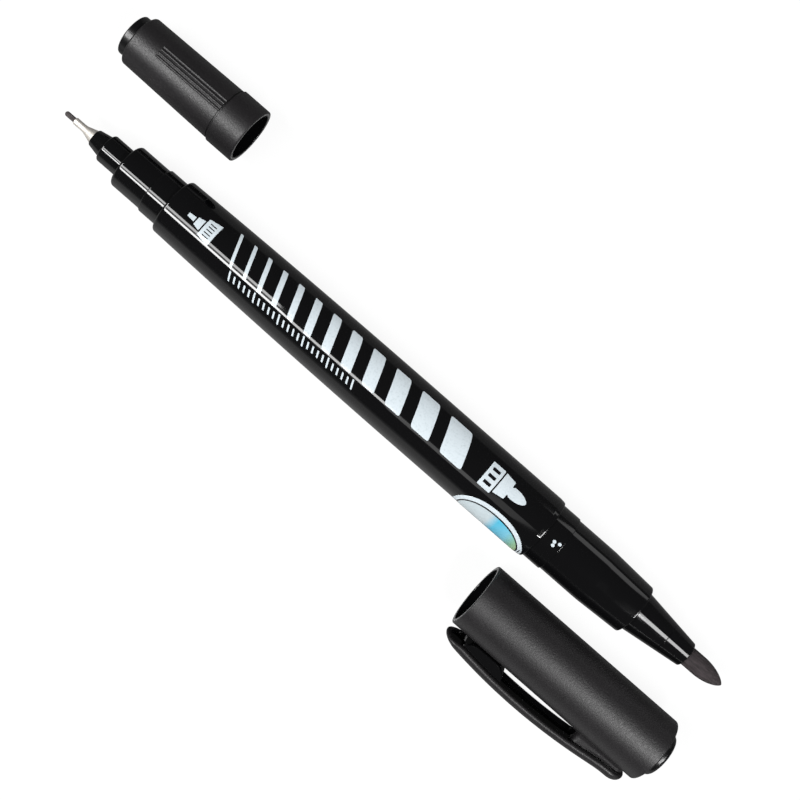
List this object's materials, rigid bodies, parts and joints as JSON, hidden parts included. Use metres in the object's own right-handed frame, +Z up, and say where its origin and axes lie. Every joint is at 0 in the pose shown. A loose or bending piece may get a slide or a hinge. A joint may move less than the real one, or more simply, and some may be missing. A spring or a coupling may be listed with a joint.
{
  "type": "twin-tip permanent marker",
  "caption": "Slim round marker with a needle point and a bullet point, both caps pulled off and laid beside it; the larger cap carries a springy pocket clip.",
  "frame": {"origin": "on the pen's axis, in the middle of the barrel's straight stretch", "axes": "+X along the pen from the needle point to the bullet point, +Y towards the small cap, +Z up from the table"},
  "size_m": [0.1364, 0.0452, 0.0113],
  "materials": {
    "gloss_black": "polished moulded polypropylene, gloss black",
    "satin_black": "spark-eroded mould texture, satin black",
    "steel": "bright turned stainless steel",
    "nib_fibre": "bonded fibre rod soaked with black ink",
    "needle_core": "extruded core, ink stained",
    "reservoir_fibre": "bonded fibre rod soaked with black ink",
    "film": "thin wrapped film"
  },
  "bodies": {
    "pen": {"barrel": "gloss_black", "reservoir_core": "reservoir_fibre", "reservoir_film": "film", "bullet_section": "gloss_black", "bullet_nose": "gloss_black", "bullet_nib": "nib_fibre", "needle_section": "gloss_black", "needle_nose": "gloss_black", "needle_sleeve": "steel", "needle_nib": "needle_core"},
    "small_cap": {"small_cap_shell": "satin_black", "small_cap_liner": "gloss_black"},
    "big_cap": {"big_cap_shell": "satin_black", "big_cap_liner": "gloss_black"},
    "clip": {"clip": "satin_black"}
  },
  "joints": [
    {"name": "small_cap_pull", "type": "slide", "parent": "pen", "child": "small_cap", "axis": [-1, 0, 0], "range_m": [0, 0.0222]},
    {"name": "big_cap_pull", "type": "slide", "parent": "pen", "child": "big_cap", "axis": [1, 0, 0], "range_m": [0, 0.0336]},
    {"name": "clip_flex", "type": "hinge", "parent": "big_cap", "child": "clip", "pos_m": [0.0412, -0.02216, -0.00246], "axis": [0, -0.3256, 0.9455], "range_deg": [0, 6], "stiffness_Nm_per_rad": 0.5}
  ]
}
